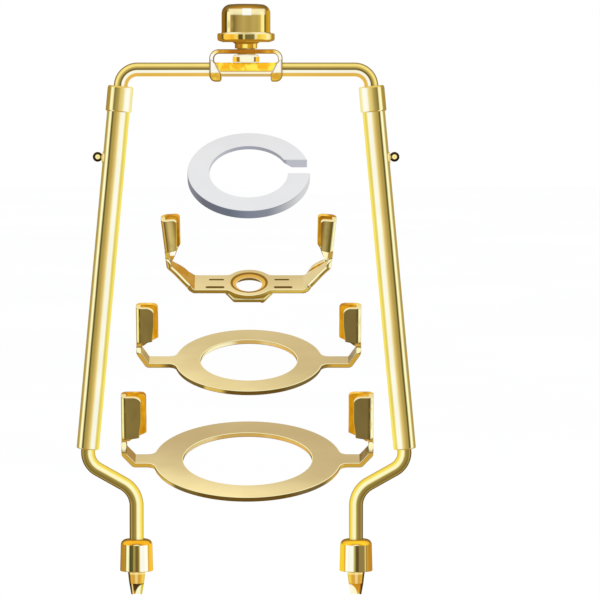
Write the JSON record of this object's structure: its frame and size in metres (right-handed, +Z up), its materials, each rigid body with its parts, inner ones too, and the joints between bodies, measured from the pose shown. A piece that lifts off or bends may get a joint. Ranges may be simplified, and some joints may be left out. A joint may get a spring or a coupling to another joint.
{
  "type": "lampshade harp",
  "caption": "Telescoping brass lampshade harp with screw-on finial, locking feet, and its loose saddle, ring fitters and split reducer ring.",
  "frame": {"origin": "midway between the two foot ends, at their height", "axes": "+Z up along the harp's height, X across the harp with the left leg at -X, -Y towards the viewer"},
  "size_m": [0.1018, 0.0538, 0.1774],
  "materials": {
    "polished_brass": "polished",
    "sheet_brass": "bright, fine-grained sheet",
    "thread_brass": "machined thread",
    "white_plastic": "satin moulded"
  },
  "bodies": {
    "bow": {"bow_rod": "polished_brass", "finial_bracket": "polished_brass", "stud_nut": "polished_brass", "finial_stud": "thread_brass"},
    "finial_bush": {"finial_thread_insert": "thread_brass"},
    "finial": {"finial_knob": "polished_brass"},
    "left_leg": {"left_tube": "polished_brass", "left_tube_collar": "polished_brass", "left_lower_leg": "polished_brass", "left_foot_tip": "polished_brass"},
    "left_lock_screw": {"left_lock_screw_shank": "thread_brass"},
    "left_lock_screw_head": {"left_lock_screw_ball": "polished_brass"},
    "left_ferrule": {"left_ferrule": "polished_brass"},
    "right_leg": {"right_tube": "polished_brass", "right_tube_collar": "polished_brass", "right_lower_leg": "polished_brass", "right_foot_tip": "polished_brass"},
    "right_lock_screw": {"right_lock_screw_shank": "thread_brass"},
    "right_lock_screw_head": {"right_lock_screw_ball": "polished_brass"},
    "right_ferrule": {"right_ferrule": "polished_brass"},
    "saddle": {"saddle_strip": "sheet_brass", "saddle_lock_plate": "sheet_brass"},
    "small_fitter": {"small_ring_fitter": "sheet_brass"},
    "large_fitter": {"large_ring_fitter": "sheet_brass"},
    "reducer": {"reducer_ring": "white_plastic"}
  },
  "joints": [
    {"name": "finial_lift", "type": "slide", "parent": "bow", "child": "finial_bush", "axis": [0, 0, 1], "range_m": [0, 0.0096]},
    {"name": "finial_spin", "type": "hinge", "parent": "finial_bush", "child": "finial", "pos_m": [0, 0, 0.1686], "axis": [0, 0, 1], "range_deg": [0, 3600]},
    {"name": "left_leg_extend", "type": "slide", "parent": "bow", "child": "left_leg", "axis": [-0.0924, 0, -0.9957], "range_m": [0, 0.045]},
    {"name": "left_ferrule_slide", "type": "slide", "parent": "left_leg", "child": "left_ferrule", "axis": [0, 0, 1], "range_m": [0, 0.009]},
    {"name": "left_screw_advance", "type": "slide", "parent": "left_leg", "child": "left_lock_screw", "axis": [-0.9957, 0, 0.0924], "range_m": [0, 0.0015]},
    {"name": "left_screw_turn", "type": "hinge", "parent": "left_lock_screw", "child": "left_lock_screw_head", "pos_m": [-0.04446, 0, 0.1317], "axis": [-0.9957, 0, 0.0924], "range_deg": [0, 1081]},
    {"name": "right_leg_extend", "type": "slide", "parent": "bow", "child": "right_leg", "axis": [0.0924, 0, -0.9957], "range_m": [0, 0.045]},
    {"name": "right_ferrule_slide", "type": "slide", "parent": "right_leg", "child": "right_ferrule", "axis": [0, 0, 1], "range_m": [0, 0.009]},
    {"name": "right_screw_advance", "type": "slide", "parent": "right_leg", "child": "right_lock_screw", "axis": [0.9957, 0, 0.0924], "range_m": [0, 0.0015]},
    {"name": "right_screw_turn", "type": "hinge", "parent": "right_lock_screw", "child": "right_lock_screw_head", "pos_m": [0.04446, 0, 0.1317], "axis": [0.9957, 0, 0.0924], "range_deg": [0, 1081]},
    {"name": "saddle_take_out", "type": "slide", "parent": "bow", "child": "saddle", "axis": [0, -1, 0], "range_m": [0, 0.06]},
    {"name": "small_fitter_take_out", "type": "slide", "parent": "bow", "child": "small_fitter", "axis": [0, -1, 0], "range_m": [0, 0.06]},
    {"name": "large_fitter_take_out", "type": "slide", "parent": "bow", "child": "large_fitter", "axis": [0, -1, 0], "range_m": [0, 0.06]},
    {"name": "reducer_take_out", "type": "slide", "parent": "bow", "child": "reducer", "axis": [0, -1, 0], "range_m": [0, 0.06]}
  ],
  "couplings": [
    {"joint": "finial_lift", "follows": "finial_spin", "m_per_rad": 0.00014976},
    {"joint": "left_screw_turn", "follows": "left_screw_advance", "rad_per_m": 12566},
    {"joint": "right_screw_turn", "follows": "right_screw_advance", "rad_per_m": 12566}
  ]
}
